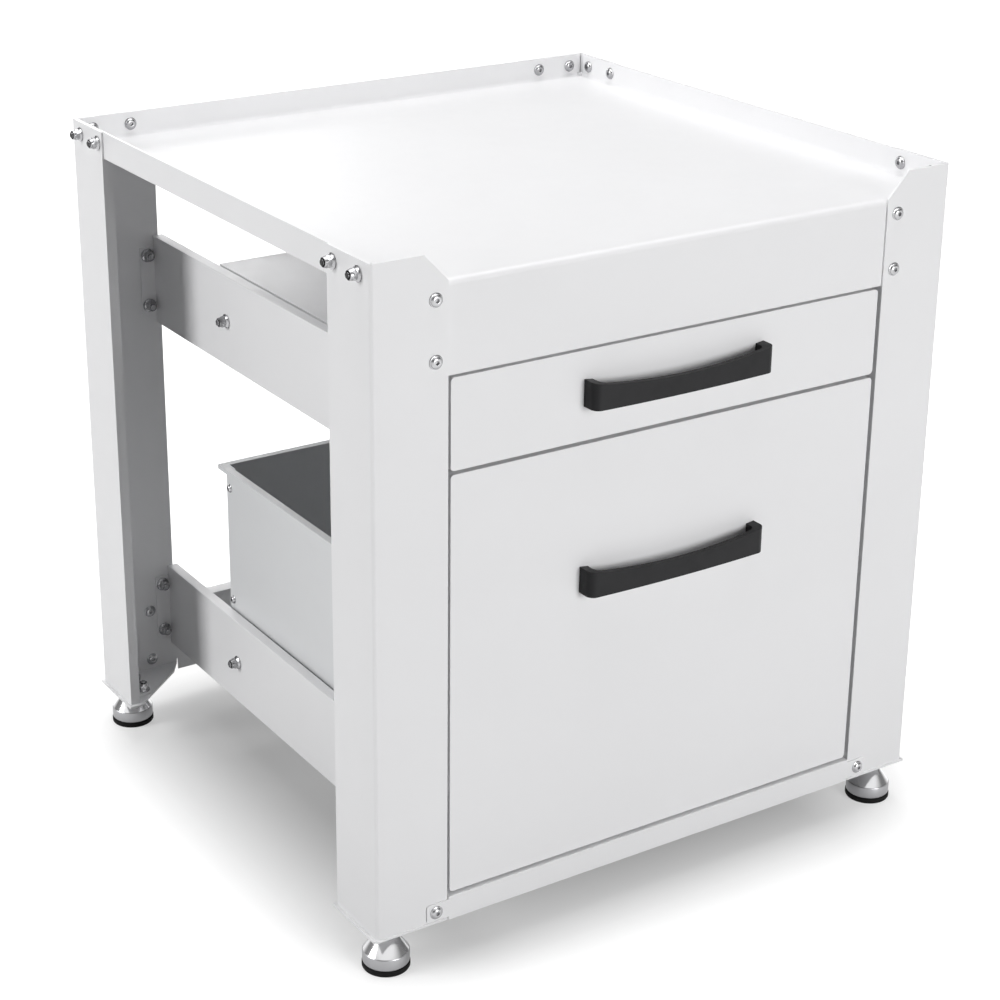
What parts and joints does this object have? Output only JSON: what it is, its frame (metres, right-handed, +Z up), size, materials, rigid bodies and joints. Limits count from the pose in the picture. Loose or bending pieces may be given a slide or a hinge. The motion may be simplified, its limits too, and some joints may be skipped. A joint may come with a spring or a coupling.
{
  "type": "washing machine stand with shelf and drawer",
  "caption": "White sheet-steel stand for a washing machine, with a rimmed deck, a pull-out shelf, a deep drawer with black bow handles, and levelling feet.",
  "frame": {"origin": "on the floor, at the middle of the whole object's box, with the feet screwed home", "axes": "+X to the right seen from the front, +Y to the back, +Z up; the drawer and the shelf open towards -Y"},
  "size_m": [0.651, 0.631, 0.68],
  "materials": {
    "white_paint": "white powder coat, semi-matt, very fine orange peel",
    "drawer_paint": "light grey powder coat, semi-matt",
    "handle_black": "matt black powder coat",
    "fastener_steel": "bright zinc plating",
    "runner_zinc": "rolled zinc-plated sheet",
    "foot_metal": "turned and chromed metal",
    "pad_rubber": "black rubber"
  },
  "bodies": {
    "frame": {"post_front_left": "white_paint", "post_front_right": "white_paint", "post_back_left": "white_paint", "post_back_right": "white_paint", "base_plate_front_left": "white_paint", "base_plate_front_right": "white_paint", "base_plate_back_left": "white_paint", "base_plate_back_right": "white_paint", "deck": "white_paint", "rail_upper_left": "white_paint", "rail_upper_right": "white_paint", "rail_lower_left": "white_paint", "rail_lower_right": "white_paint", "rail_front": "white_paint", "rail_back": "white_paint", "foot_nuts": "fastener_steel", "deck_bolts": "fastener_steel", "deck_nuts": "fastener_steel", "frame_bolts": "fastener_steel", "frame_nuts": "fastener_steel", "runner_bolts": "fastener_steel", "runner_nuts": "fastener_steel", "drawer_runner_fixed_left": "runner_zinc", "drawer_runner_fixed_right": "runner_zinc", "shelf_runner_fixed_left": "runner_zinc", "shelf_runner_fixed_right": "runner_zinc"},
    "shelf": {"shelf_front": "white_paint", "shelf_front_liner": "white_paint", "shelf_plate": "white_paint", "shelf_handle": "handle_black", "shelf_handle_screws": "fastener_steel", "shelf_bolts": "fastener_steel", "shelf_nuts": "fastener_steel", "shelf_runner_screws": "fastener_steel", "shelf_runner_inner_left": "runner_zinc", "shelf_runner_inner_right": "runner_zinc"},
    "drawer": {"drawer_front": "white_paint", "drawer_front_liner": "white_paint", "drawer_box": "drawer_paint", "drawer_back": "drawer_paint", "drawer_handle": "handle_black", "drawer_handle_screws": "fastener_steel", "drawer_bolts": "fastener_steel", "drawer_nuts": "fastener_steel", "drawer_runner_screws": "fastener_steel", "drawer_runner_inner_left": "runner_zinc", "drawer_runner_inner_right": "runner_zinc"},
    "shelf_runners_middle": {"shelf_runner_middle_left": "runner_zinc", "shelf_runner_middle_right": "runner_zinc"},
    "drawer_runners_middle": {"drawer_runner_middle_left": "runner_zinc", "drawer_runner_middle_right": "runner_zinc"},
    "foot_front_left_body": {"foot_front_left": "foot_metal", "pad_front_left": "pad_rubber"},
    "foot_front_right_body": {"foot_front_right": "foot_metal", "pad_front_right": "pad_rubber"},
    "foot_back_left_body": {"foot_back_left": "foot_metal", "pad_back_left": "pad_rubber"},
    "foot_back_right_body": {"foot_back_right": "foot_metal", "pad_back_right": "pad_rubber"}
  },
  "joints": [
    {"name": "shelf_slide", "type": "slide", "parent": "frame", "child": "shelf", "axis": [0, -1, 0], "range_m": [0, 0.45]},
    {"name": "shelf_runners_middle_slide", "type": "slide", "parent": "frame", "child": "shelf_runners_middle", "axis": [0, -1, 0], "range_m": [0, 0.225]},
    {"name": "drawer_slide", "type": "slide", "parent": "frame", "child": "drawer", "axis": [0, -1, 0], "range_m": [0, 0.45]},
    {"name": "drawer_runners_middle_slide", "type": "slide", "parent": "frame", "child": "drawer_runners_middle", "axis": [0, -1, 0], "range_m": [0, 0.225]},
    {"name": "foot_front_left_height", "type": "slide", "parent": "frame", "child": "foot_front_left_body", "axis": [0, 0, -1], "range_m": [0, 0.015]},
    {"name": "foot_front_right_height", "type": "slide", "parent": "frame", "child": "foot_front_right_body", "axis": [0, 0, -1], "range_m": [0, 0.015]},
    {"name": "foot_back_left_height", "type": "slide", "parent": "frame", "child": "foot_back_left_body", "axis": [0, 0, -1], "range_m": [0, 0.015]},
    {"name": "foot_back_right_height", "type": "slide", "parent": "frame", "child": "foot_back_right_body", "axis": [0, 0, -1], "range_m": [0, 0.015]}
  ],
  "couplings": [
    {"joint": "shelf_runners_middle_slide", "follows": "shelf_slide", "ratio": 0.5},
    {"joint": "drawer_runners_middle_slide", "follows": "drawer_slide", "ratio": 0.5}
  ]
}
